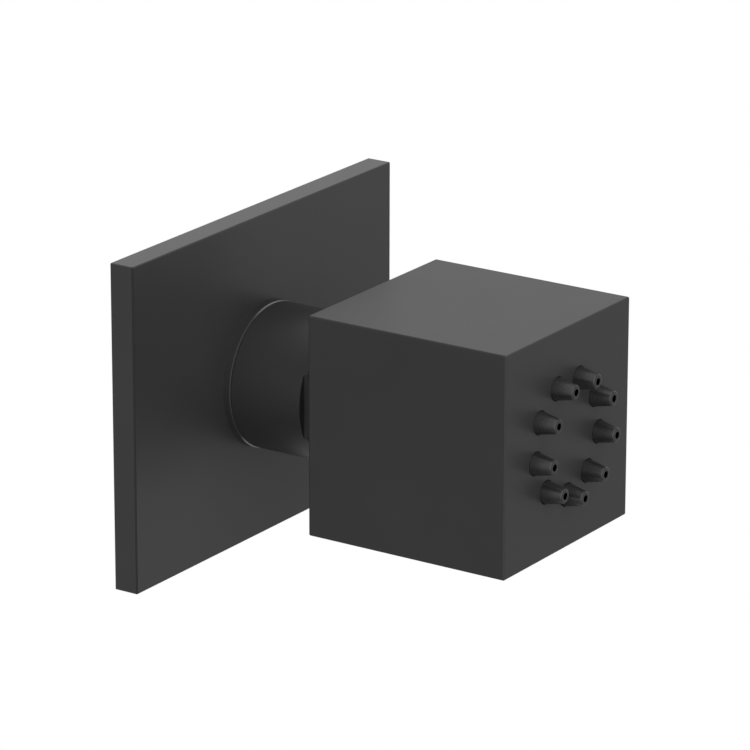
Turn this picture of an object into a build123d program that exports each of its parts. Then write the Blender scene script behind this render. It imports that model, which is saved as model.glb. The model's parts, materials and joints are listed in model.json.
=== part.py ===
from build123d import *
import os
from math import cos, hypot, radians, sin, sqrt

os.makedirs("parts", exist_ok=True)

# Shower body jet, in millimetres. The wall is the plane y = 0, the jet points along -Y
# and +Z is up. A reach is a distance in front of the wall, so a point at that reach has
# y = -reach, and a negative reach lies inside the wall.

# Wall plate and its gasket
plate_width = 80.0
plate_height = 60.0
plate_thickness = 4.7
plate_edge_round = 0.25
plate_skin = 2.0                # metal left in front of the pocket in the back
plate_rim = 3.0                 # width of the rim that lies on the wall
pocket_corner_round = 2.0
hub_radius = 17.0               # pad under the flange
hub_gap = 0.6                   # the pad stays this far off the wall
gasket_width = 3.5
gasket_clearance = 0.1

# Inlet body with its half inch pipe thread
thread_radius = 10.478
nipple_length = 16.0
nipple_chamfer = 1.0
shank_step = 0.72               # the shank in the plate is this much wider than the thread
shank_start = 0.3
shank_clearance = 0.15
flange_thickness = 1.4
flange_lip = 0.1                # the flange stands this far out round the nut
flange_chamfer = 0.2
hex_across = 10.0               # key socket, which is the waterway too
nipple_wall = 3.0               # round the pocket for regulator and filter
insert_depth = 8.0
cup_bore_radius = 6.0
cup_bore_length = 1.3
spigot_setback = 1.6            # the spigot ends this far behind the ball's centre
spigot_lip = 1.05
spigot_chamfer = 0.4
thread_clearance = 0.1

# Flow regulator and filter in the nipple
insert_clearance = 0.1
regulator_length = 4.6
regulator_holes = 8
regulator_hole_radius = 0.9
regulator_hole_circle = 3.7
regulator_dimple_radius = 1.8
regulator_dimple_depth = 1.5
filter_length = 2.8
filter_floor = 0.8
filter_wall = 1.0
screen_pitch = 2.1
screen_hole = 1.5

# Ball joint
ball_radius = 9.0
ball_flat = 1.0                 # the back of the ball is cut flat by this much
seat_wall = 0.85
seat_clearance = 0.2            # between ball and seats, and between seats and sockets
seat_gap = 2.4                  # between the two seats, at the ball's equator
rear_seat_depth = 5.8
front_seat_depth = 5.0

# Collar nut
nut_to_head = 3.6               # from the nut's end to the back of the head
nut_wall = 2.0
nut_edge_chamfer = 0.2
nut_end_chamfer = 2.2
flat_depth = 1.4                # gives 24 mm across the two spanner flats
flat_length = 3.0
lip_hold = 1.1                  # the mouth is this much smaller in radius than the ball
lip_thickness = 1.87
mouth_flare = 0.7

# Ball stem
neck_swing = 3.1                # free ring between the neck and the nut's mouth
stem_wall = 1.8
neck_flat_depth = 0.8
stem_thread_step = 0.2
shoulder_step = 1.2
shoulder_proud = 0.3
stem_thread_length = 6.8
washer_thickness = 0.6

# Head
head_side = 40.5
head_gap = 22.9                 # from the front of the plate to the back of the head
head_edge_round = 0.3
side_wall = 4.75                # round the chamber, at the middle of each side
front_wall = 2.6
cover_inset = 1.9
cover_corner_round = 1.2
cover_thickness = 3.0
cover_clearance = 0.1
plug_length = 3.0
port_wall = 3.4
port_length = 3.4
port_recess_depth = 1.6
port_recess_clearance = 0.2

# Cover screws
cover_screw_inset = 5.65        # from each side of the head
cover_screw_radius = 1.15
cover_screw_head_radius = 2.4
cover_screw_length = 8.5
screw_clearance = 0.1
screw_socket_across = 1.6
screw_socket_depth = 0.8

# Nozzles and what feeds them
nozzle_count = 9
nozzle_circle = 10.5
nozzle_radius = 2.1
nozzle_tip_radius = 1.35
nozzle_length = 3.8
nozzle_tip_round = 0.25
nozzle_bore_radius = 1.1
nozzle_outlet_radius = 0.62
nozzle_outlet_depth = 1.6
nozzle_clearance = 0.1
mat_thickness = 2.0
mat_clearance = 0.2
distributor_thickness = 3.0
distributor_hole_radius = 0.8
deflector_height = 3.0
boss_count = 3
boss_radius = 2.2
boss_to_nozzle = 1.6
boss_hole_depth = 3.2
boss_seat = 1.5                 # plate left under each small screw
small_screw_radius = 0.9
small_screw_head_radius = 1.8
small_screw_head_height = 1.3

# Round cords of the sealing rings
seal_squeeze_gap = 0.05
groove_side_gap = 0.2
plate_cord = 0.7
nut_cord = 0.4
regulator_cord = 0.55
chamber_cord = 0.7

# Places that follow from the sizes above
shank_radius = thread_radius + shank_step
flange_front = plate_thickness + flange_thickness
head_back = plate_thickness + head_gap
head_front = head_back + head_side
nut_end = head_back - nut_to_head
seat_inner = ball_radius + seat_clearance
seat_outer = seat_inner + seat_wall
socket_radius = seat_outer + seat_clearance
spigot_radius = socket_radius + spigot_lip
nut_bore = spigot_radius + thread_clearance
nut_radius = nut_bore + nut_wall
flange_radius = nut_radius + flange_lip
mouth_radius = ball_radius - lip_hold
ball_reach = nut_end - lip_thickness - sqrt(socket_radius**2 - mouth_radius**2)
spigot_end = ball_reach - spigot_setback
insert_radius = thread_radius - nipple_wall
insert_floor = insert_depth - nipple_length
cup_bottom = ball_reach - sqrt(socket_radius**2 - cup_bore_radius**2)
neck_radius = mouth_radius - neck_swing
stem_bore = neck_radius - stem_wall
stem_thread_radius = neck_radius + stem_thread_step
shoulder_radius = stem_thread_radius + shoulder_step
port_seat = head_back + port_recess_depth
port_bore = stem_thread_radius + thread_clearance
cover_front = head_back + cover_thickness
plug_end = cover_front + plug_length
chamber_radius = head_side / 2 - side_wall
chamber_front = head_front - front_wall
mat_back = chamber_front - mat_thickness
distributor_back = mat_back - distributor_thickness
boss_circle = nozzle_circle - nozzle_radius - boss_to_nozzle - boss_radius
boss_back = distributor_back + boss_seat

from_start = (Align.CENTER, Align.CENTER, Align.MIN)


def facing(reach):
    # Work plane square to the jet's axis: x to the right, y up, z towards the front.
    return Plane(origin=(0, -reach, 0), x_dir=(1, 0, 0), z_dir=(0, -1, 0))


def disc(radius, start, end):
    return facing(start) * Cylinder(radius, end - start, align=from_start)


def cone(start_radius, end_radius, start, end):
    return facing(start) * Cone(start_radius, end_radius, end - start, align=from_start)


def block(width, height, start, end):
    return facing(start) * Box(width, height, end - start, align=from_start)


def turned(outline):
    # Revolves an outline of (radius, reach) points about the jet's axis.
    lathe_plane = Plane(origin=(0, 0, 0), x_dir=(1, 0, 0), z_dir=(0, 0, -1))
    return revolve(lathe_plane * make_face(Polyline(*outline, close=True)), Axis.Y)


def on_circle(radius, count, piece, first_angle=-90):
    # Copies of a piece on a circle seen from the front, the first one at the bottom.
    spots = [first_angle + 360 * step / count for step in range(count)]
    return [Pos(radius * cos(radians(spot)), 0, radius * sin(radians(spot))) * piece for spot in spots]


def at_corners(offset, piece):
    return [Pos(x, 0, z) * piece for x in (-offset, offset) for z in (-offset, offset)]


def seal_centre(bore_radius, cord):
    # Radius of a ring whose cord lies just inside a bore.
    return bore_radius - seal_squeeze_gap - cord


def sealing_ring(centre_radius, cord, reach):
    return facing(reach) * Torus(centre_radius, cord)


def ring_groove(bore_radius, cord, reach):
    # Groove round a shaft for a ring that seals against a bore.
    half_width = cord + groove_side_gap
    bottom = seal_centre(bore_radius, cord) - cord - seal_squeeze_gap
    return disc(bore_radius, reach - half_width, reach + half_width) - disc(
        bottom, reach - half_width, reach + half_width)


def rounded_block(width, height, start, end, corner):
    outline = RectangleRounded(width, height, corner)
    return extrude(facing(start) * outline, end - start)


def make_wall_plate():
    slab = block(plate_width, plate_height, 0, plate_thickness)
    on_wall = slab.faces().sort_by(Axis.Y)[-1].edges()
    slab = fillet([edge for edge in slab.edges() if edge not in on_wall], plate_edge_round)
    pocket = rounded_block(plate_width - 2 * plate_rim, plate_height - 2 * plate_rim,
                           0, plate_thickness - plate_skin, pocket_corner_round)
    pocket -= disc(hub_radius, hub_gap, plate_thickness)
    return slab - pocket - disc(shank_radius + shank_clearance, 0, plate_thickness)


def make_plate_gasket():
    width = plate_width - 2 * plate_rim - 2 * gasket_clearance
    height = plate_height - 2 * plate_rim - 2 * gasket_clearance
    depth = plate_thickness - plate_skin
    outer = rounded_block(width, height, 0, depth, pocket_corner_round)
    inner = rounded_block(width - 2 * gasket_width, height - 2 * gasket_width,
                          0, depth, pocket_corner_round)
    return outer - inner


def plate_ring_reach():
    return (shank_start + plate_thickness) / 2


def make_inlet_body():
    body = turned([
        (0, -nipple_length), (thread_radius - nipple_chamfer, -nipple_length),
        (thread_radius, nipple_chamfer - nipple_length), (thread_radius, shank_start),
        (shank_radius, shank_start), (shank_radius, plate_thickness),
        (flange_radius, plate_thickness), (flange_radius, flange_front - flange_chamfer),
        (flange_radius - flange_chamfer, flange_front), (spigot_radius, flange_front),
        (spigot_radius, spigot_end - spigot_chamfer), (spigot_radius - spigot_chamfer, spigot_end),
        (0, spigot_end)])
    body -= ring_groove(shank_radius + shank_clearance, plate_cord, plate_ring_reach())
    body -= nut_ring_groove()
    body -= Pos(0, -ball_reach, 0) * Sphere(socket_radius)
    body -= disc(cup_bore_radius, cup_bottom - cup_bore_length, cup_bottom + spigot_setback)
    body -= disc(insert_radius, -nipple_length, insert_floor)
    key_socket = RegularPolygon(hex_across / 2, 6, major_radius=False)
    return body - extrude(facing(insert_floor) * key_socket, cup_bottom - insert_floor)


def nut_ring_radius():
    return nut_bore + nut_wall / 2


def nut_ring_groove():
    half_width = nut_cord + seal_squeeze_gap
    start = flange_front - 2 * nut_cord
    return disc(nut_ring_radius() + half_width, start, flange_front) - disc(
        nut_ring_radius() - half_width, start, flange_front)


def regulator_ring_reach():
    return insert_floor - regulator_length / 2


def make_flow_regulator():
    radius = insert_radius - insert_clearance
    back = insert_floor - regulator_length
    body = disc(radius, back, insert_floor)
    body -= ring_groove(insert_radius, regulator_cord, regulator_ring_reach())
    body -= on_circle(regulator_hole_circle, regulator_holes,
                      disc(regulator_hole_radius, back, insert_floor))
    return body - disc(regulator_dimple_radius, back, back + regulator_dimple_depth)


def make_filter_screen():
    radius = insert_radius - insert_clearance
    front = insert_floor - regulator_length
    cup = disc(radius, front - filter_length, front)
    cup -= disc(radius - filter_wall, front - filter_length, front - filter_floor)
    reach_out = int(radius // screen_pitch)
    hole = block(screen_hole, screen_hole, front - filter_floor, front)
    places = [(column * screen_pitch, row * screen_pitch)
              for column in range(-reach_out, reach_out + 1)
              for row in range(-reach_out, reach_out + 1)]
    inside = radius - filter_wall - screen_hole * sqrt(0.5)
    return cup - [Pos(x, 0, z) * hole for x, z in places if hypot(x, z) < inside]


def seat_zone(near, far):
    # Ring cut from a hollow ball, between two planes in front of the ball's centre.
    middle = Plane(origin=(0, -ball_reach, 0), x_dir=(1, 0, 0), z_dir=(0, 0, -1))
    window = Pos(seat_outer / 2, (near + far) / 2) * Rectangle(seat_outer, far - near)
    return revolve(middle * ((Circle(seat_outer) - Circle(seat_inner)) & window), Axis.Y)


def make_collar_nut():
    nut = turned([
        (nut_bore, flange_front), (nut_radius - nut_edge_chamfer, flange_front),
        (nut_radius, flange_front + nut_edge_chamfer), (nut_radius, nut_end - nut_end_chamfer),
        (nut_radius - nut_end_chamfer, nut_end), (mouth_radius + mouth_flare, nut_end),
        (mouth_radius, nut_end - lip_thickness), (mouth_radius, ball_reach),
        (socket_radius, ball_reach), (socket_radius, spigot_end + thread_clearance),
        (nut_bore, spigot_end + thread_clearance)])
    nut -= Pos(0, -ball_reach, 0) * Sphere(socket_radius)
    waste = facing(nut_end - flat_length) * Box(
        nut_radius, 2 * nut_radius, flat_length, align=(Align.MIN, Align.CENTER, Align.MIN))
    return nut - Pos(nut_radius - flat_depth, 0, 0) * waste - Pos(
        flat_depth - 2 * nut_radius, 0, 0) * waste


def make_ball_stem():
    shoulder_back = head_back - shoulder_proud
    shoulder_front = port_seat - washer_thickness
    thread_end = port_seat + stem_thread_length
    stem = Pos(0, -ball_reach, 0) * Sphere(ball_radius)
    stem -= disc(ball_radius, ball_reach - 2 * ball_radius, ball_reach - ball_radius + ball_flat)
    stem += disc(neck_radius, ball_reach, shoulder_front)
    stem += disc(shoulder_radius, shoulder_back, shoulder_front)
    stem += disc(stem_thread_radius, shoulder_front, thread_end)
    stem -= disc(stem_bore, ball_reach - ball_radius, thread_end)
    flats_start = ball_reach + ball_radius
    flat_waste = facing(flats_start) * Box(
        neck_radius, 2 * neck_radius, shoulder_back - flats_start,
        align=(Align.MIN, Align.CENTER, Align.MIN))
    return stem - Pos(neck_radius - neck_flat_depth, 0, 0) * flat_waste - Pos(
        neck_flat_depth - 2 * neck_radius, 0, 0) * flat_waste


def make_stem_washer():
    front = port_seat
    return disc(shoulder_radius, front - washer_thickness, front) - disc(
        port_bore, front - washer_thickness, front)


def cover_screw_offset():
    return head_side / 2 - cover_screw_inset


def make_head_block():
    head = fillet(block(head_side, head_side, head_back, head_front).edges(), head_edge_round)
    rebate_side = head_side - 2 * cover_inset
    head -= rounded_block(rebate_side, rebate_side, head_back, cover_front, cover_corner_round)
    head -= disc(chamber_radius, cover_front, chamber_front)
    head += on_circle(boss_circle, boss_count, disc(boss_radius, boss_back, chamber_front))
    head -= on_circle(boss_circle, boss_count,
                      disc(small_screw_radius + screw_clearance, boss_back, boss_back + boss_hole_depth))
    head -= on_circle(nozzle_circle, nozzle_count,
                      disc(nozzle_radius + nozzle_clearance, chamber_front, head_front))
    tapped_hole = disc(cover_screw_radius + screw_clearance, cover_front,
                       head_back + cover_screw_length + screw_clearance)
    return head - at_corners(cover_screw_offset(), tapped_hole)


def cover_ring_reach():
    return cover_front + plug_length / 2


def make_rear_cover():
    side = head_side - 2 * cover_inset - 2 * cover_clearance
    cover = rounded_block(side, side, head_back, cover_front, cover_corner_round)
    cover += disc(chamber_radius - cover_clearance, cover_front, plug_end)
    cover += disc(port_bore + port_wall, plug_end, plug_end + port_length)
    cover -= ring_groove(chamber_radius, chamber_cord, cover_ring_reach())
    cover -= disc(shoulder_radius + port_recess_clearance, head_back, port_seat)
    cover -= disc(port_bore, port_seat, plug_end + port_length)
    hole = disc(cover_screw_radius + 2 * screw_clearance, head_back, cover_front)
    hole += cone(cover_screw_head_radius + screw_clearance, cover_screw_radius + screw_clearance,
                 head_back, head_back + cover_screw_head_radius - cover_screw_radius)
    return cover - at_corners(cover_screw_offset(), hole)


def make_cover_screw():
    head_height = cover_screw_head_radius - cover_screw_radius
    screw = cone(cover_screw_head_radius, cover_screw_radius, head_back, head_back + head_height)
    screw += disc(cover_screw_radius, head_back + head_height, head_back + cover_screw_length)
    socket = RegularPolygon(screw_socket_across / 2, 6, major_radius=False)
    return screw - extrude(facing(head_back) * socket, screw_socket_depth)


def make_nozzle():
    # One hollow cone with its root, turned about the jet's axis and moved to its place later.
    tip = head_front + nozzle_length
    outline = [
        (0, mat_back + mat_thickness / 2), (nozzle_radius, mat_back + mat_thickness / 2),
        (nozzle_radius, head_front), (nozzle_tip_radius, tip - nozzle_tip_round),
        (nozzle_tip_radius - nozzle_tip_round, tip), (0, tip)]
    return turned(outline)


def make_nozzle_bore():
    tip = head_front + nozzle_length
    throat = tip - nozzle_outlet_depth
    return turned([
        (0, mat_back), (nozzle_bore_radius, mat_back), (nozzle_bore_radius, head_front),
        (nozzle_outlet_radius, throat), (nozzle_outlet_radius, tip), (0, tip)])


def make_nozzle_mat():
    mat = disc(chamber_radius - mat_clearance, mat_back, chamber_front)
    mat += on_circle(nozzle_circle, nozzle_count, make_nozzle())
    mat -= on_circle(nozzle_circle, nozzle_count, make_nozzle_bore())
    return mat - on_circle(boss_circle, boss_count,
                           disc(boss_radius + mat_clearance, mat_back, chamber_front))


def distributor_ring_reach():
    return (distributor_back + mat_back) / 2


def make_distributor_plate():
    radius = chamber_radius - mat_clearance
    plate = disc(radius, distributor_back, mat_back)
    deflector_radius = boss_circle - small_screw_head_radius - 2 * mat_clearance
    plate += cone(deflector_radius / 3, deflector_radius, distributor_back - deflector_height, distributor_back)
    plate -= ring_groove(chamber_radius, chamber_cord, distributor_ring_reach())
    plate -= on_circle(nozzle_circle, nozzle_count,
                       disc(distributor_hole_radius, distributor_back, mat_back))
    plate -= on_circle(boss_circle, boss_count,
                       disc(boss_radius + mat_clearance, boss_back, mat_back))
    return plate - on_circle(boss_circle, boss_count,
                             disc(small_screw_radius + 2 * screw_clearance, distributor_back, boss_back))


def make_small_screw():
    screw = disc(small_screw_head_radius, distributor_back - small_screw_head_height, distributor_back)
    screw += disc(small_screw_radius, distributor_back, boss_back + boss_hole_depth - screw_clearance)
    socket = RegularPolygon(screw_socket_across / 2, 6, major_radius=False)
    back = distributor_back - small_screw_head_height
    return screw - extrude(facing(back) * socket, screw_socket_depth)


nodes = {
    "wall_plate": make_wall_plate(),
    "plate_gasket": make_plate_gasket(),
    "plate_ring": sealing_ring(seal_centre(shank_radius + shank_clearance, plate_cord),
                               plate_cord, plate_ring_reach()),
    "inlet_body": make_inlet_body(),
    "flow_regulator": make_flow_regulator(),
    "regulator_ring": sealing_ring(seal_centre(insert_radius, regulator_cord),
                                   regulator_cord, regulator_ring_reach()),
    "filter_screen": make_filter_screen(),
    "collar_nut": make_collar_nut(),
    "nut_ring": sealing_ring(nut_ring_radius(), nut_cord - seal_squeeze_gap, flange_front - nut_cord),
    "rear_seat": seat_zone(-seat_gap / 2 - rear_seat_depth, -seat_gap / 2),
    "front_seat": seat_zone(seat_gap / 2, seat_gap / 2 + front_seat_depth),
    "ball_stem": make_ball_stem(),
    "stem_washer": make_stem_washer(),
    "head_block": make_head_block(),
    "rear_cover": make_rear_cover(),
    "cover_ring": sealing_ring(seal_centre(chamber_radius, chamber_cord),
                               chamber_cord, cover_ring_reach()),
    "cover_screws": Compound(children=at_corners(cover_screw_offset(), make_cover_screw())),
    "nozzle_mat": make_nozzle_mat(),
    "distributor_plate": make_distributor_plate(),
    "distributor_ring": sealing_ring(seal_centre(chamber_radius, chamber_cord),
                                     chamber_cord, distributor_ring_reach()),
    "distributor_screws": Compound(children=on_circle(boss_circle, boss_count, make_small_screw())),
}

for name, piece in nodes.items():
    export_step(piece, f"parts/{name}.step")
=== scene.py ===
import json
import math
import bmesh
import bpy
from mathutils import Matrix, Vector

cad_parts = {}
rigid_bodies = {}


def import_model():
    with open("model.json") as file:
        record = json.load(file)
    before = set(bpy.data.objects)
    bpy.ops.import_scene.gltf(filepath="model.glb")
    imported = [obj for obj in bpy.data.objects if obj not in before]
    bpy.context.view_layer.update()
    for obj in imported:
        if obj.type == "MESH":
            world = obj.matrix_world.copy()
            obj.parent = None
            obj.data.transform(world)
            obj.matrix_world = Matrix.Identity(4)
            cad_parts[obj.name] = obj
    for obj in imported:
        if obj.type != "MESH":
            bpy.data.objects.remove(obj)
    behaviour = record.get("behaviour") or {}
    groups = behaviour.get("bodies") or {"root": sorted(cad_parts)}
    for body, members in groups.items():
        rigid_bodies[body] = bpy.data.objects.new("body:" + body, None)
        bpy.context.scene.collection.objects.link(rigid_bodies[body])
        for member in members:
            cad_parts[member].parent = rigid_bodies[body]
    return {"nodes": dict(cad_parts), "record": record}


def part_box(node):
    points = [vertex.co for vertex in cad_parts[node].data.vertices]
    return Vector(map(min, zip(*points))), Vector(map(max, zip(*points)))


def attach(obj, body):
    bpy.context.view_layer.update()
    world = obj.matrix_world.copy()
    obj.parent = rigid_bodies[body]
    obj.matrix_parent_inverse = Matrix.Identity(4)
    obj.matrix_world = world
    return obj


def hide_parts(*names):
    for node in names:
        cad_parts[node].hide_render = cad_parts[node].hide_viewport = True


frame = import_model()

mm = 0.001
fullTurn = 2 * math.pi
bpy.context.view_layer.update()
sceneObjects = bpy.context.scene.collection.objects
print("frame loaded:", len(frame["nodes"]), "nodes")


# Places read from the frame. A reach is the distance in front of the wall, along -Y.
def frontOf(node):
    return -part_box(node)[0].y


def backOf(node):
    return -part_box(node)[1].y


def halfWidthOf(node):
    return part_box(node)[1].x


plateFront, plateHalf = frontOf("wall_plate"), halfWidthOf("wall_plate")
headBack, headFront, headHalf = backOf("head_block"), frontOf("head_block"), halfWidthOf("head_block")
nutBack, nutFront, nutRadius = backOf("collar_nut"), frontOf("collar_nut"), halfWidthOf("collar_nut")
matBack, nozzleTip = backOf("nozzle_mat"), frontOf("nozzle_mat")
ballReach = -frame["record"]["behaviour"]["joints"][0]["pos_m"][1]


# Node trees: a socket on which sums can be written, then the trees themselves
class Wire:
    def __init__(self, tree, socket):
        self.tree = tree
        self.socket = socket

    def maths(self, operation, *values):
        return self.tree.node("ShaderNodeMath", {"operation": operation}, dict(enumerate(values)))

    def __add__(self, other):
        return self.maths("ADD", self, other)

    def __radd__(self, other):
        return self.maths("ADD", other, self)

    def __sub__(self, other):
        return self.maths("SUBTRACT", self, other)

    def __rsub__(self, other):
        return self.maths("SUBTRACT", other, self)

    def __mul__(self, other):
        return self.maths("MULTIPLY", self, other)

    def __rmul__(self, other):
        return self.maths("MULTIPLY", other, self)

    def __truediv__(self, other):
        return self.maths("DIVIDE", self, other)

    def __gt__(self, other):
        return self.maths("GREATER_THAN", self, other)

    def __lt__(self, other):
        return self.maths("LESS_THAN", self, other)

    def power(self, exponent):
        return self.maths("POWER", self, exponent)

    def root(self):
        return self.maths("SQRT", self)

    def size(self):
        return self.maths("ABSOLUTE", self)

    def sine(self):
        return self.maths("SINE", self)

    def cosine(self):
        return self.maths("COSINE", self)

    def remainder(self):
        return self.maths("FRACT", self)

    def clamped(self):
        return self.maths("MINIMUM", self.maths("MAXIMUM", self, 0.0), 1.0)

    def eased(self, start, end):  # 0 at start, 1 at end, smooth between
        return self.tree.node("ShaderNodeMapRange", {"interpolation_type": "SMOOTHSTEP"}, {
            "Value": self, "From Min": start, "From Max": end})


class NodeTree:
    def __init__(self, tree):
        self.tree = tree
        self.tree.nodes.clear()

    def node(self, kind, settings=None, sockets=None, output=0):
        made = self.tree.nodes.new(kind)
        for key, value in (settings or {}).items():
            setattr(made, key, value)
        for key, value in (sockets or {}).items():
            for each in value if isinstance(value, list) else [value]:
                if isinstance(each, Wire):
                    self.tree.links.new(each.socket, made.inputs[key])
                else:
                    made.inputs[key].default_value = each
        return Wire(self, made.outputs[output]) if made.outputs else made

    def axes(self, where):
        made = self.tree.nodes.new("ShaderNodeSeparateXYZ")
        self.tree.links.new(where.socket, made.inputs[0])
        return [Wire(self, socket) for socket in made.outputs]

    def point(self, x, y, z):
        return self.node("ShaderNodeCombineXYZ", {}, {0: x, 1: y, 2: z})


class Finish(NodeTree):  # a material with one Principled shader
    def __init__(self, name):
        self.material = bpy.data.materials.new(name)
        self.material.use_nodes = True
        super().__init__(self.material.node_tree)
        self.place = self.node("ShaderNodeTexCoord", output=3)

    def noise(self, size, detail=2):  # size of the grain in metres
        return self.node("ShaderNodeTexNoise", {}, {
            "Vector": self.place, "Scale": 1 / size, "Detail": detail})

    def blendColours(self, factor, first, second):
        return self.node("ShaderNodeMix", {"data_type": "RGBA"}, {
            "Factor": factor, 6: first, 7: second}, output=2)

    def bump(self, height, depth):
        return self.node("ShaderNodeBump", {}, {"Height": height, "Distance": depth, "Strength": 1.0})

    def surface(self, **sockets):
        named = {key.replace("_", " "): value for key, value in sockets.items()}
        shader = self.node("ShaderNodeBsdfPrincipled", {}, named)
        self.node("ShaderNodeOutputMaterial", {}, {"Surface": shader})
        return self.material


class Recipe(NodeTree):  # a Geometry Nodes tree with named inputs
    def __init__(self, name, inputs):
        super().__init__(bpy.data.node_groups.new(name, "GeometryNodeTree"))
        self.tree.interface.new_socket("Geometry", in_out="OUTPUT", socket_type="NodeSocketGeometry")
        for key, kind in {"Geometry": "Geometry", **inputs, "Material": "Material"}.items():
            self.tree.interface.new_socket(key, in_out="INPUT", socket_type="NodeSocket" + kind)
        self.entry = self.tree.nodes.new("NodeGroupInput")

    def given(self, key):
        return Wire(self, self.entry.outputs[key])

    def end(self, geometry):
        real = self.node("GeometryNodeRealizeInstances", {}, {"Geometry": geometry})
        painted = self.node("GeometryNodeSetMaterial", {}, {
            "Geometry": real, "Material": self.given("Material")})
        self.node("NodeGroupOutput", {}, {"Geometry": painted})

    def run(self, piece, values):  # leaves the result on the piece as a plain mesh
        modifier = piece.modifiers.new(self.tree.name, "NODES")
        modifier.node_group = self.tree
        for item in self.tree.interface.items_tree:
            if item.in_out == "INPUT" and item.name in values:
                modifier[item.identifier] = values[item.name]
        shown = piece.evaluated_get(bpy.context.evaluated_depsgraph_get())
        mesh = bpy.data.meshes.new_from_object(shown)
        piece.modifiers.remove(modifier)
        piece.data = mesh
        mesh.name = piece.name
        tidyMesh(mesh)


def grey(level, tint=0.0):  # tint above 0 is bluish
    return (level, level, level * (1 + tint), 1)


# Meshes
meshCare = {"merge": 0.0005 * mm, "sliver": 0.0001 * mm, "sharpAngle": 32}


def tidyMesh(mesh):
    build = bmesh.new()
    build.from_mesh(mesh)
    bmesh.ops.remove_doubles(build, verts=build.verts, dist=meshCare["merge"])
    bmesh.ops.dissolve_degenerate(build, edges=build.edges, dist=meshCare["sliver"])
    bmesh.ops.recalc_face_normals(build, faces=build.faces)
    build.to_mesh(mesh)
    build.free()
    mesh.shade_smooth()
    mesh.set_sharp_from_angle(angle=math.radians(meshCare["sharpAngle"]))


def ringRadius(radius, sides, angle):  # sides above 0 make a polygon of that inner radius
    if not sides:
        return radius
    step = fullTurn / sides
    return radius / math.cos(angle % step - step / 2)


def turnedMesh(name, outline, segments, closed=True):
    # Turns (radius, reach) or (radius, reach, sides) stations about the jet's axis.
    build = bmesh.new()
    rings = []
    for radius, reach, *sides in outline:
        angles = [fullTurn * step / segments for step in range(segments if radius else 1)]
        spans = [(ringRadius(radius, sides[0] if sides else 0, angle), angle) for angle in angles]
        rings.append([build.verts.new((span * math.cos(angle), -reach, span * math.sin(angle)))
                      for span, angle in spans])
    for near, far in zip(rings, rings[1:] + rings[:1] if closed else rings[1:]):
        for step in range(segments):
            corners = [near[step % len(near)], near[(step + 1) % len(near)],
                       far[(step + 1) % len(far)], far[step % len(far)]]
            if len(set(corners)) > 2:
                build.faces.new(dict.fromkeys(corners))
    mesh = bpy.data.meshes.new(name)
    build.to_mesh(mesh)
    build.free()
    tidyMesh(mesh)
    return mesh


def arc(centreRadius, centreReach, radius, start, end, steps):
    # Angles start at the outward radius and turn to the front.
    angles = [math.radians(start + (end - start) * step / steps) for step in range(steps + 1)]
    return [(centreRadius + radius * math.cos(angle), centreReach + radius * math.sin(angle))
            for angle in angles]


def addPiece(name, mesh):
    piece = bpy.data.objects.new(name, mesh)
    sceneObjects.link(piece)
    return piece


def install(piece, body, node):
    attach(piece, body)
    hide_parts(node)


# Finishes
# one black paint: the plate's paler and the collar's darker tone are painted light, lit and shaded copies of
# the head's coat
blackCoat = {"plate": {"shade": 0.0295, "roughness": 0.37, "ior": 1.58},
             "head": {"shade": 0.028, "roughness": 0.4, "ior": 1.45},
             "collar": {"shade": 0.0195, "roughness": 0.34, "ior": 1.6},
             "mottle": 1.1, "cloudSize": 14 * mm, "uneven": 0.05, "grainSize": 0.12 * mm, "grainy": 0.04,
             "peelSize": 0.9 * mm, "peelDepth": 0.0012 * mm}
paintedShadePlaces = {  # painted shade, at this half width and from this reach on: a dark line on the upright front edges where a highlight would fall, and the spanner flats that lie in the head's shade
    "plate": {"half": plateHalf, "from": plateFront, "margin": 0.25 * mm,
              "shade": 0.012, "rougher": 0.2, "reflectionCut": 0.5},
    "head": {"half": headHalf, "from": headFront, "margin": 0.2 * mm,
             "shade": 0.024, "rougher": 0.1, "reflectionCut": 0.12},
    "collar": {"half": nutRadius - 1.4 * mm, "from": nutFront - 3.0 * mm, "margin": 0.03 * mm,
               "shade": 0.028, "rougher": 0.2, "reflectionCut": 0.4}}


def coatMaps(made, part):  # colour, roughness and bump of the black coating
    shade, roughness = blackCoat[part]["shade"], blackCoat[part]["roughness"]
    cloud = made.noise(blackCoat["cloudSize"], 3)
    grain = made.noise(blackCoat["grainSize"])
    colour = made.blendColours(cloud, grey(shade / blackCoat["mottle"]), grey(shade * blackCoat["mottle"]))
    rough = roughness + blackCoat["uneven"] * (cloud - 0.5) + blackCoat["grainy"] * (grain - 0.5)
    peel = made.noise(blackCoat["peelSize"], 1)
    return colour, rough, peel


def makeBlackCoat(part):
    made = Finish(part + "Coat")
    colour, rough, peel = coatMaps(made, part)
    x, y, z = made.axes(made.place)
    place = paintedShadePlaces[part]
    # painted shade: darker, rougher and less mirroring coat inside this mask
    paintedShade = (((x.size() - place["half"]).size() < place["margin"])
            * (y < place["margin"] - place["from"]))
    colour = made.blendColours(paintedShade, colour, grey(place["shade"]))
    rough = rough + place["rougher"] * paintedShade
    metallic = place["reflectionCut"] * paintedShade  # painted shade: a metallic share with the dark colour cuts the coat's reflection there too
    return made.surface(Base_Color=colour, Roughness=rough, Metallic=metallic, IOR=blackCoat[part]["ior"],
                        Normal=made.bump(peel, blackCoat["peelDepth"]))


stemPlating = {"shade": 0.02, "lighter": 1.4, "cloudSize": 5 * mm, "metallic": 0.6,
               "roughness": 0.16, "turned": 0.03, "pitch": 0.08 * mm, "depth": 0.0004 * mm}


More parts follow.
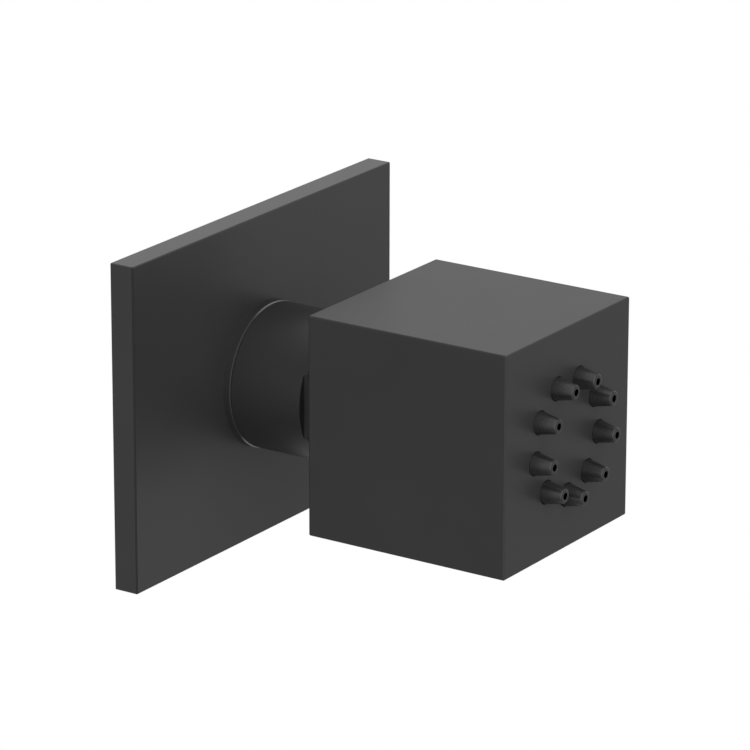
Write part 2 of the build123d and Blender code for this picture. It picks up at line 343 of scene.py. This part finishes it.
def makeStemPlating():
    made = Finish("stemPlating")
    x, y, z = made.axes(made.place)
    turning = (y * (fullTurn / stemPlating["pitch"])).sine()
    rough = stemPlating["roughness"] + stemPlating["turned"] * turning
    cloud = made.noise(stemPlating["cloudSize"])
    colour = made.blendColours(cloud, grey(stemPlating["shade"]),
                               grey(stemPlating["shade"] * stemPlating["lighter"]))
    return made.surface(Base_Color=colour, Roughness=rough, Metallic=stemPlating["metallic"],
                        Normal=made.bump(turning, stemPlating["depth"]))


turnedBrass = {"light": (0.80, 0.60, 0.30, 1), "dark": (0.62, 0.43, 0.18, 1), "stainSize": 4 * mm,
               "roughness": 0.27, "stained": 0.08, "turned": 0.04, "coatedFrom": 4.0 * mm,
               "pitch": 0.11 * mm, "waver": 6, "waverSize": 3 * mm}
# painted highlight and painted shade on the flange's chamfer: bright grey metal arcs at the top and the
# bottom, darker coat between
paintedLipLight = {"width": 0.22 * mm, "shade": 0.5, "shadedLip": 0.004, "rougher": 0.3,
             "topFrom": 11.6 * mm, "topTo": 15.2 * mm, "topShare": 0.68,
             "lowFrom": 8.6 * mm, "lowTo": 11.8 * mm, "lowShare": 0.85}


def makeInletFinish():
    made = Finish("inletFinish")  # bare brass in the wall, black coat on the flange
    x, y, z = made.axes(made.place)
    coated = y < -turnedBrass["coatedFrom"]
    coatColour, coatRough, peel = coatMaps(made, "collar")
    onLip = (((x * x + z * z).root() > halfWidthOf("inlet_body") - paintedLipLight["width"])
             * (y < paintedLipLight["width"] - nutBack))
    # painted highlight: bright grey metal arcs on the chamfer's top and bottom
    paintedHighlight = onLip * (paintedLipLight["topShare"] * z.eased(paintedLipLight["topFrom"], paintedLipLight["topTo"])
                      + paintedLipLight["lowShare"] * (0.0 - z).eased(paintedLipLight["lowFrom"], paintedLipLight["lowTo"]))
    # painted shade: the rest of the chamfer darker
    coatColour = made.blendColours(onLip, coatColour, grey(paintedLipLight["shadedLip"]))
    stain = made.noise(turnedBrass["stainSize"], 4)
    brass = made.blendColours(stain, turnedBrass["light"], turnedBrass["dark"])
    waver = turnedBrass["waver"] * made.noise(turnedBrass["waverSize"])
    marks = (y * (fullTurn / turnedBrass["pitch"]) + waver).sine()
    coatRough = coatRough + paintedLipLight["rougher"] * onLip
    brassRough = turnedBrass["roughness"] + turnedBrass["stained"] * stain + turnedBrass["turned"] * marks
    rough = coated * coatRough + (1 - coated) * brassRough
    height = coated * peel + (1 - coated) * (0.5 + 0.5 * marks)
    colour = made.blendColours(paintedHighlight, made.blendColours(coated, brass, coatColour),
                               grey(paintedLipLight["shade"]))
    return made.surface(Base_Color=colour, Roughness=rough, Metallic=1 - coated + paintedHighlight,
                        IOR=blackCoat["collar"]["ior"],
                        Normal=made.bump(height, blackCoat["peelDepth"]))


nozzle = {"count": 9, "circle": 10.5 * mm, "firstAngle": -90, "root": 2.1 * mm, "tip": 1.35 * mm,
          "slope": 10, "lipRound": 0.3 * mm, "lipSteps": 7, "bore": 1.1 * mm, "outlet": 0.62 * mm,
          "outletDepth": 1.6 * mm, "outletRound": 0.05 * mm, "outletSteps": 4, "segments": 48,
          "matThickness": 2.0 * mm, "matSegments": 128,
          "bossCount": 3, "bossCircle": 4.5 * mm, "bossHole": 2.4 * mm, "bossSegments": 36}
# paintedBoreShade: painted shade, a near black inside the nozzles' bores
silicone = {"shade": 0.016, "dusty": 0.021, "dustSize": 0.7 * mm, "dustDepth": 0.0015 * mm,
            "roughness": 0.27, "uneven": 0.1, "ior": 1.5, "paintedBoreShade": 0.0005, "boreEdge": 0.03 * mm}


def makeSilicone():
    made = Finish("blackSilicone")
    dust = made.noise(silicone["dustSize"], 3)
    x, y, z = made.axes(made.place)
    spacing = fullTurn / nozzle["count"]
    turned = made.node("ShaderNodeMath", {"operation": "ARCTAN2"}, {0: z, 1: x}) / spacing
    nearest = turned - math.radians(nozzle["firstAngle"]) / spacing + 0.5
    aside = (nearest.remainder() - 0.5) * spacing  # angle from the nearest nozzle's axis
    spanSquared = x * x + z * z
    offAxis = (spanSquared + nozzle["circle"] ** 2
               - 2 * nozzle["circle"] * spanSquared.root() * aside.cosine()).root()
    # painted shade: near black, metallic and fully rough inside the nozzles' bores
    bore = 1 - offAxis.eased(nozzle["outlet"], nozzle["outlet"] + silicone["boreEdge"])
    skin = made.blendColours(dust, grey(silicone["shade"]), grey(silicone["dusty"]))
    colour = made.blendColours(bore, skin, grey(silicone["paintedBoreShade"]))
    rough = (silicone["roughness"] + silicone["uneven"] * (dust - 0.5)) * (1 - bore) + bore
    return made.surface(Base_Color=colour, Roughness=rough, Metallic=bore, IOR=silicone["ior"],
                        Normal=made.bump(dust, silicone["dustDepth"]))


sealRubber = {"dark": 0.018, "light": 0.034, "grainSize": 0.2 * mm, "grainDepth": 0.01 * mm,
              "roughness": 0.55, "grainy": 0.15}


def makeSealRubber():
    made = Finish("sealRubber")
    grain = made.noise(sealRubber["grainSize"], 3)
    colour = made.blendColours(grain, grey(sealRubber["dark"]), grey(sealRubber["light"]))
    return made.surface(Base_Color=colour, Roughness=sealRubber["roughness"] + sealRubber["grainy"] * grain,
                        Normal=made.bump(grain, sealRubber["grainDepth"]))


gasketFoam = {"dark": 0.02, "light": 0.075, "cellSize": 0.45 * mm, "cellDepth": 0.12 * mm,
              "roughness": 0.85, "smoother": 0.1}


def makeGasketFoam():
    made = Finish("gasketFoam")
    cells = made.node("ShaderNodeTexVoronoi", {}, {"Vector": made.place, "Scale": 1 / gasketFoam["cellSize"]})
    wall = cells.clamped()
    colour = made.blendColours(wall, grey(gasketFoam["dark"]), grey(gasketFoam["light"]))
    return made.surface(Base_Color=colour, Roughness=gasketFoam["roughness"] - gasketFoam["smoother"] * wall,
                        Normal=made.bump(cells, gasketFoam["cellDepth"]))


plastic = {"white": {"light": (0.78, 0.78, 0.75, 1), "dark": (0.70, 0.70, 0.66, 1), "roughness": 0.38},
           "filter": {"light": (0.16, 0.30, 0.42, 1), "dark": (0.12, 0.24, 0.36, 1), "roughness": 0.4},
           "seat": {"light": (0.80, 0.79, 0.74, 1), "dark": (0.72, 0.70, 0.64, 1), "roughness": 0.3},
           "flowSize": 2.5 * mm, "grainSize": 0.09 * mm, "grainDepth": 0.002 * mm, "grainy": 0.08}


def makePlastic(part):
    made = Finish(part + "Plastic")
    look = plastic[part]
    flow = made.noise(plastic["flowSize"], 3)
    grain = made.noise(plastic["grainSize"])
    return made.surface(Base_Color=made.blendColours(flow, look["light"], look["dark"]),
                        Roughness=look["roughness"] + plastic["grainy"] * (grain - 0.5),
                        Normal=made.bump(grain, plastic["grainDepth"]))


steel = {"light": grey(0.55, 0.02), "dark": grey(0.42, 0.02), "stainSize": 2 * mm,
         "brushSize": 0.06 * mm, "brushDepth": 0.002 * mm, "roughness": 0.26, "brushed": 0.12}


def makeSteel():
    made = Finish("screwSteel")
    brushed = made.noise(steel["brushSize"])
    stain = made.noise(steel["stainSize"], 3)
    return made.surface(Base_Color=made.blendColours(stain, steel["light"], steel["dark"]), Metallic=1.0,
                        Roughness=steel["roughness"] + steel["brushed"] * brushed,
                        Normal=made.bump(brushed, steel["brushDepth"]))


finishes = {
    "plateCoat": makeBlackCoat("plate"), "headCoat": makeBlackCoat("head"),
    "collarCoat": makeBlackCoat("collar"), "stemPlating": makeStemPlating(), "inlet": makeInletFinish(),
    "silicone": makeSilicone(), "rubber": makeSealRubber(), "foam": makeGasketFoam(),
    "white": makePlastic("white"), "filter": makePlastic("filter"), "seat": makePlastic("seat"),
    "steel": makeSteel(),
}
print("finishes made:", len(finishes))

nodeFinish = {
    "wall_plate": "plateCoat", "plate_gasket": "foam", "plate_ring": "rubber", "inlet_body": "inlet",
    "flow_regulator": "white", "regulator_ring": "rubber", "filter_screen": "filter",
    "collar_nut": "collarCoat", "nut_ring": "rubber", "rear_seat": "seat", "front_seat": "seat",
    "ball_stem": "stemPlating", "stem_washer": "rubber", "head_block": "headCoat",
    "rear_cover": "headCoat", "cover_ring": "rubber", "cover_screws": "steel",
    "nozzle_mat": "silicone", "distributor_plate": "white", "distributor_ring": "rubber",
    "distributor_screws": "steel",
}
for nodeName, finishName in nodeFinish.items():
    shown = frame["nodes"][nodeName]
    shown.data.materials.clear()
    shown.data.materials.append(finishes[finishName])


# Ring of copies: nozzles and screws
def makeRingRecipe():
    made = Recipe("ringOfCopies", {"Count": "Int", "Radius": "Float", "First Angle": "Float",
                                   "Carrier": "Object"})
    index = made.node("GeometryNodeInputIndex")
    angle = made.given("First Angle") + index * fullTurn / made.given("Count")
    spot = made.point(made.given("Radius") * angle.cosine(), 0.0, made.given("Radius") * angle.sine())
    spots = made.node("GeometryNodePoints", {}, {"Count": made.given("Count"), "Position": spot})
    copies = made.node("GeometryNodeInstanceOnPoints", {}, {
        "Points": spots, "Instance": made.given("Geometry")})
    carrier = made.node("GeometryNodeObjectInfo", {}, {"Object": made.given("Carrier")}, output=4)
    made.end(made.node("GeometryNodeJoinGeometry", {}, {"Geometry": [copies, carrier]}))
    return made


ringRecipe = makeRingRecipe()


def nozzleOutline():  # from the mat's front up the cone, over the lip and back down the bore
    lip, edge = nozzle["lipRound"], nozzle["outletRound"]
    outside = [(nozzle["root"], matBack + nozzle["matThickness"]), (nozzle["root"], headFront)]
    over = arc(nozzle["tip"] - lip, nozzleTip - lip, lip, nozzle["slope"], 90, nozzle["lipSteps"])
    into = arc(nozzle["outlet"] + edge, nozzleTip - edge, edge, 90, 180, nozzle["outletSteps"])
    throat = nozzleTip - nozzle["outletDepth"]
    return outside + over + into + [(nozzle["outlet"], throat), (nozzle["bore"], headFront),
                                    (nozzle["bore"], matBack)]


def circleOfVerts(build, centre, radius, reach, segments):
    angles = [fullTurn * step / segments for step in range(segments)]
    return [build.verts.new((centre[0] + radius * math.cos(angle), -reach,
                             centre[1] + radius * math.sin(angle))) for angle in angles]


def loopEdges(build, loop):
    return [build.edges.new((loop[step - 1], loop[step])) for step in range(len(loop))]


def onCircle(count, radius, firstAngle):
    angles = [math.radians(firstAngle) + fullTurn * step / count for step in range(count)]
    return [(radius * math.cos(angle), radius * math.sin(angle)) for angle in angles]


def makeMatSheet():  # disc with the nozzles' and bosses' holes, joined to the nozzles later
    build = bmesh.new()
    back, front = matBack, matBack + nozzle["matThickness"]
    rim = halfWidthOf("nozzle_mat")
    walls = [((0, 0), rim, nozzle["matSegments"])] + [
        (centre, nozzle["bossHole"], nozzle["bossSegments"])
        for centre in onCircle(nozzle["bossCount"], nozzle["bossCircle"], nozzle["firstAngle"])]
    sides = {reach: [] for reach in (back, front)}
    for centre, radius, segments in walls:
        near, far = (circleOfVerts(build, centre, radius, reach, segments) for reach in (back, front))
        sides[back] += loopEdges(build, near)
        sides[front] += loopEdges(build, far)
        for step in range(segments):
            build.faces.new((near[step - 1], near[step], far[step], far[step - 1]))
    for centre in onCircle(nozzle["count"], nozzle["circle"], nozzle["firstAngle"]):
        for reach, radius in ((back, nozzle["bore"]), (front, nozzle["root"])):
            hole = circleOfVerts(build, centre, radius, reach, nozzle["segments"])
            sides[reach] += loopEdges(build, hole)
    for edges in sides.values():
        bmesh.ops.triangle_fill(build, edges=edges, use_beauty=True)
    mesh = bpy.data.meshes.new("matSheet")
    build.to_mesh(mesh)
    build.free()
    return mesh


def makeNozzleMat():
    seed = turnedMesh("nozzleSeed", nozzleOutline(), nozzle["segments"], closed=False)
    piece = addPiece("nozzle_ring", seed)
    carrier = addPiece("matSheet", makeMatSheet())
    ringRecipe.run(piece, {"Count": nozzle["count"], "Radius": nozzle["circle"],
                           "First Angle": math.radians(nozzle["firstAngle"]),
                           "Carrier": carrier, "Material": finishes["silicone"]})
    bpy.data.objects.remove(carrier)
    install(piece, "head", "nozzle_mat")


makeNozzleMat()
print("nozzles made")

coverScrew = {"count": 4, "firstAngle": 45, "inset": 5.65 * mm, "radius": 1.15 * mm, "head": 2.4 * mm,
              "length": 8.5 * mm, "rim": 0.12 * mm, "socket": 0.8 * mm, "socketDepth": 0.8 * mm,
              "socketTip": 0.35 * mm, "socketMouth": 1.12, "pitch": 0.7 * mm, "threadDepth": 0.22 * mm,
              "firstRoot": 0.6, "crestStart": 0.4, "crestEnd": 0.55,  # shares of the pitch
              "endTaper": 0.3, "segments": 48}


def coverScrewOutline():
    head, radius, rim = coverScrew["head"], coverScrew["radius"], coverScrew["rim"]
    socket, pitch, taper = coverScrew["socket"], coverScrew["pitch"], coverScrew["endTaper"]
    seat = headBack + head - radius
    floor, end = headBack + coverScrew["socketDepth"], headBack + coverScrew["length"]
    ridges = []
    for turn in range(int((end - seat - pitch) / pitch)):
        reach = seat + pitch * (turn + coverScrew["firstRoot"])
        ridges += [(radius - coverScrew["threadDepth"], reach),
                   (radius, reach + coverScrew["crestStart"] * pitch),
                   (radius, reach + coverScrew["crestEnd"] * pitch)]
    return ([(0, floor + coverScrew["socketTip"]), (socket, floor, 6), (socket, headBack + rim, 6),
             (socket * coverScrew["socketMouth"] + rim, headBack), (head - rim, headBack),
             (head, headBack + rim), (radius, seat)]
            + ridges + [(radius, end - radius * taper), (radius * (1 - taper), end), (0, end)])


def makeCoverScrews():
    seed = turnedMesh("screwSeed", coverScrewOutline(), coverScrew["segments"], closed=False)
    piece = addPiece("cover_screw_set", seed)
    ringRecipe.run(piece, {"Count": coverScrew["count"],
                           "Radius": math.sqrt(2) * (headHalf - coverScrew["inset"]),
                           "First Angle": math.radians(coverScrew["firstAngle"]),
                           "Material": finishes["steel"]})
    install(piece, "head", "cover_screws")


makeCoverScrews()
print("cover screws made")


# Inlet body: a turned form, then the pipe thread by a rule
inlet = {"segments": 96, "endChamfer": 1.0 * mm, "threadEnd": 0.3 * mm, "shankStep": 0.72 * mm,
         "ringGap": 0.2 * mm, "ringDepth": 1.35 * mm, "flangeChamfer": 0.2 * mm,
         "faceGap": 0.1 * mm, "faceRing": 0.7 * mm, "faceFloor": 0.05 * mm, "spigotLip": 1.05 * mm,
         "spigotChamfer": 0.4 * mm, "socketRadius": 10.25 * mm, "socketSteps": 14, "cup": 6.0 * mm,
         "cupLength": 1.3 * mm, "key": 5.0 * mm, "insertGap": 0.1 * mm}
thread = {"pitch": 1.814 * mm, "depth": 1.05 * mm, "perTurn": 12, "plain": 0.4 * mm, "runOut": 0.9 * mm,
          "flankStart": 0.08, "flankEnd": 0.92, "crestMargin": 0.01 * mm}
threadCrest = frame["record"]["mounts"][0]["dims"]["r_mm"] * mm
inletEnd = backOf("inlet_body")


def inletOutline():
    shank, flange, lip = threadCrest + inlet["shankStep"], halfWidthOf("inlet_body"), inlet["flangeChamfer"]
    near, far = backOf("plate_ring") - inlet["ringGap"], frontOf("plate_ring") + inlet["ringGap"]
    groove = shank - inlet["ringDepth"]
    outer = halfWidthOf("nut_ring") + inlet["faceGap"]
    inner = outer - inlet["faceRing"] - 2 * inlet["faceGap"]
    floor = backOf("nut_ring") - inlet["faceFloor"]
    socketRadius, chamfer = inlet["socketRadius"], inlet["spigotChamfer"]
    spigot, spigotEnd = socketRadius + inlet["spigotLip"], frontOf("inlet_body")
    insert, insertFloor = halfWidthOf("flow_regulator") + inlet["insertGap"], frontOf("flow_regulator")
    start = inletEnd + inlet["endChamfer"]
    count = int((inlet["threadEnd"] - start) / thread["pitch"] * thread["perTurn"])
    step = (inlet["threadEnd"] - start) / count
    threaded = [(threadCrest, start + step * number) for number in range(count + 1)]
    first = math.degrees(math.acos((spigotEnd - ballReach) / socketRadius))
    last = math.degrees(math.asin(inlet["cup"] / socketRadius))
    socket = arc(0, ballReach, socketRadius, 90 - first, last - 90, inlet["socketSteps"])
    cupEnd = socket[-1][1] - inlet["cupLength"]
    return ([(threadCrest - inlet["endChamfer"], inletEnd)] + threaded
            + [(shank, inlet["threadEnd"]), (shank, near), (groove, near), (groove, far), (shank, far),
               (shank, plateFront), (flange, plateFront), (flange, nutBack - lip), (flange - lip, nutBack),
               (outer, nutBack), (outer, floor), (inner, floor), (inner, nutBack),
               (spigot, nutBack), (spigot, spigotEnd - chamfer), (spigot - chamfer, spigotEnd)]
            + socket
            + [(inlet["cup"], cupEnd), (inlet["key"], cupEnd, 6), (inlet["key"], insertFloor, 6),
               (insert, insertFloor), (insert, inletEnd)])


def makeThreadRecipe():
    made = Recipe("pipeThread", {"Pitch": "Float", "Depth": "Float", "Crest": "Float",
                                 "Start": "Float", "End": "Float", "Fade": "Float"})
    place = made.node("GeometryNodeInputPosition")
    x, y, z = made.axes(place)
    radius = (x * x + z * z).root()
    turn = made.node("ShaderNodeMath", {"operation": "ARCTAN2"}, {0: x, 1: z}) / fullTurn
    phase = (y / made.given("Pitch") - turn + 100).remainder()  # right-handed into the wall, never below 0
    valley = ((phase - 0.5).size() * 2).eased(thread["flankStart"], thread["flankEnd"])
    fade = (((y - made.given("Start")) / made.given("Fade")).clamped()
            * ((made.given("End") - y) / made.given("Fade")).clamped())
    onThread = (radius - made.given("Crest")).size() < thread["crestMargin"]
    cut = made.given("Depth") * valley * fade * onThread / radius
    made.end(made.node("GeometryNodeSetPosition", {}, {
        "Geometry": made.given("Geometry"), "Offset": made.point(0.0 - x * cut, 0.0, 0.0 - z * cut)}))
    return made


def makeInletBody():
    piece = addPiece("threaded_inlet", turnedMesh("inletForm", inletOutline(), inlet["segments"]))
    makeThreadRecipe().run(piece, {
        "Pitch": thread["pitch"], "Depth": thread["depth"], "Crest": threadCrest,
        "Start": thread["plain"] - inlet["threadEnd"],
        "End": thread["runOut"] - inletEnd - inlet["endChamfer"],
        "Fade": thread["runOut"], "Material": finishes["inlet"]})
    install(piece, "root", "inlet_body")


makeInletBody()
print("inlet body made")


# Filter: a cup whose floor is a grid of fine bars
sieve = {"wall": 1.0 * mm, "floor": 0.8 * mm, "barWidth": 0.28 * mm, "bars": 15, "pitch": 0.8 * mm,
         "thinner": 0.8, "segments": 72, "edge": 0.15 * mm}  # the second layer of bars is thinner


def makeSieveRecipe():
    made = Recipe("crossedBars", {"Bars": "Int", "Pitch": "Float", "Radius": "Float",
                                  "Width": "Float", "Thickness": "Float", "Middle": "Float"})
    offset = (made.node("GeometryNodeInputIndex") - (made.given("Bars") - 1) / 2) * made.given("Pitch")
    half = (made.given("Radius") * made.given("Radius") - offset * offset).root()
    layers = [made.given("Geometry")]
    for across in (True, False):
        spot = made.point(*((offset, made.given("Middle"), 0.0) if across
                            else (0.0, made.given("Middle"), offset)))
        thickness = made.given("Thickness") * (1.0 if across else sieve["thinner"])
        size = (made.given("Width"), thickness, 2 * half)
        bar = made.node("GeometryNodeMeshCube", {}, {"Size": (1, 1, 1)})
        spots = made.node("GeometryNodePoints", {}, {"Count": made.given("Bars"), "Position": spot})
        layers.append(made.node("GeometryNodeInstanceOnPoints", {}, {
            "Points": spots, "Instance": bar, "Scale": made.point(*(size if across else size[::-1]))}))
    made.end(made.node("GeometryNodeJoinGeometry", {}, {"Geometry": layers}))
    return made


def makeFilter():
    back, front = backOf("filter_screen"), frontOf("filter_screen")
    rim, edge = halfWidthOf("filter_screen"), sieve["edge"]
    inner = rim - sieve["wall"]
    outline = [(rim, front), (rim, back + edge), (rim - edge, back),
               (inner + edge, back), (inner, back + edge), (inner, front)]
    piece = addPiece("filter_sieve", turnedMesh("filterCup", outline, sieve["segments"]))
    makeSieveRecipe().run(piece, {
        "Bars": sieve["bars"], "Pitch": sieve["pitch"], "Radius": inner + 0.5 * sieve["wall"],
        "Width": sieve["barWidth"], "Thickness": sieve["floor"],
        "Middle": -(front - sieve["floor"] / 2), "Material": finishes["filter"]})
    install(piece, "root", "filter_screen")


makeFilter()
print("filter made")


# Camera, fitted to the edges of the photographed object
photoCamera = {"yaw": 56.305, "pitch": -18.368, "roll": 0.092, "lens": 233.87, "sensor": 36.0,
               "distance": 861.8 * mm, "sideways": 3.0 * mm, "upward": -4.375 * mm,
               "aimReach": 31.65 * mm, "nearest": 0.05, "farthest": 50}


def makeCamera():
    yaw, pitch, roll = (math.radians(photoCamera[key]) for key in ("yaw", "pitch", "roll"))
    ahead = Vector((math.sin(yaw) * math.cos(pitch), math.cos(yaw) * math.cos(pitch), math.sin(pitch)))
    level = Vector((math.cos(yaw), -math.sin(yaw), 0))
    lift = level.cross(ahead)
    right = math.cos(roll) * level + math.sin(roll) * lift
    upright = -math.sin(roll) * level + math.cos(roll) * lift
    aim = Vector((0, -photoCamera["aimReach"], 0))
    spot = aim - (photoCamera["sideways"] * right + photoCamera["upward"] * upright
                  + photoCamera["distance"] * ahead)
    turn = Matrix((right, upright, -ahead)).transposed().to_4x4()
    data = bpy.data.cameras.new("photoCamera")
    data.lens, data.sensor_width = photoCamera["lens"], photoCamera["sensor"]
    data.clip_start, data.clip_end = photoCamera["nearest"], photoCamera["farthest"]
    holder = bpy.data.objects.new("photoCamera", data)
    holder.matrix_world = Matrix.Translation(spot) @ turn
    sceneObjects.link(holder)
    bpy.context.scene.camera = holder


makeCamera()
print("camera placed")


# Floor and sky, whose soft glows light the object
studio = {"floorDrop": 0.6, "floorSize": 0.9, "floorShade": 0.4, "floorWhite": 0.97, "glossShare": 0.1,
          "evenLight": 0.2}
glows = [{"side": (-0.7, -0.7, 0.4), "strength": 1.8, "tightness": 2},  # the main light, at the front left
         {"side": (1.0, 0.0, 0.3), "strength": 0.3, "tightness": 2},
         {"side": (0.7, 0.7, 0.3), "strength": 0.46, "tightness": 2},
         {"side": (0.0, -0.15, 0.99), "strength": 1.2, "tightness": 10}]  # overhead


def shownWhite(tree):  # 1 where the camera looks at the background, less in a reflection
    paths = tree.tree.nodes.new("ShaderNodeLightPath")
    camera, glossy, passing = (Wire(tree, paths.outputs[key]) for key in (
        "Is Camera Ray", "Is Glossy Ray", "Is Transmission Ray"))
    return (camera + studio["glossShare"] * glossy + passing).clamped()


def makeFloor():
    mesh = bpy.data.meshes.new("floor")
    half, drop = studio["floorSize"] / 2, -studio["floorDrop"]
    mesh.from_pydata([(-half, -half, drop), (half, -half, drop), (half, half, drop), (-half, half, drop)],
                     [], [(0, 1, 2, 3)])
    floor = addPiece("floor", mesh)
    material = bpy.data.materials.new("paleFloor")
    material.use_nodes = True
    tree = NodeTree(material.node_tree)
    matt = tree.node("ShaderNodeBsdfDiffuse", {}, {"Color": grey(studio["floorShade"])})
    white = tree.node("ShaderNodeEmission", {}, {"Color": grey(1.0), "Strength": 1.0})
    share = studio["floorWhite"] * shownWhite(tree)
    both = tree.node("ShaderNodeMixShader", {}, {0: share, 1: matt, 2: white})
    tree.node("ShaderNodeOutputMaterial", {}, {"Surface": both})
    mesh.materials.append(material)


def makeSky():  # even light, with a few soft glows
    world = bpy.data.worlds.new("studioSky")
    bpy.context.scene.world = world
    world.use_nodes = True
    tree = NodeTree(world.node_tree)
    along = tree.node("ShaderNodeTexCoord")
    light = studio["evenLight"]
    for glow in glows:
        towards = tree.node("ShaderNodeVectorMath", {"operation": "DOT_PRODUCT"}, {
            0: along, 1: Vector(glow["side"]).normalized()}, output=1).clamped()
        light = light + glow["strength"] * towards.power(glow["tightness"])
    strength = light + (1 - light) * shownWhite(tree)
    sky = tree.node("ShaderNodeBackground", {}, {"Color": grey(1.0), "Strength": strength})
    tree.node("ShaderNodeOutputWorld", {}, {"Surface": sky})


makeFloor()
makeSky()
bpy.context.scene.view_settings.view_transform = "Standard"
print("studio set")
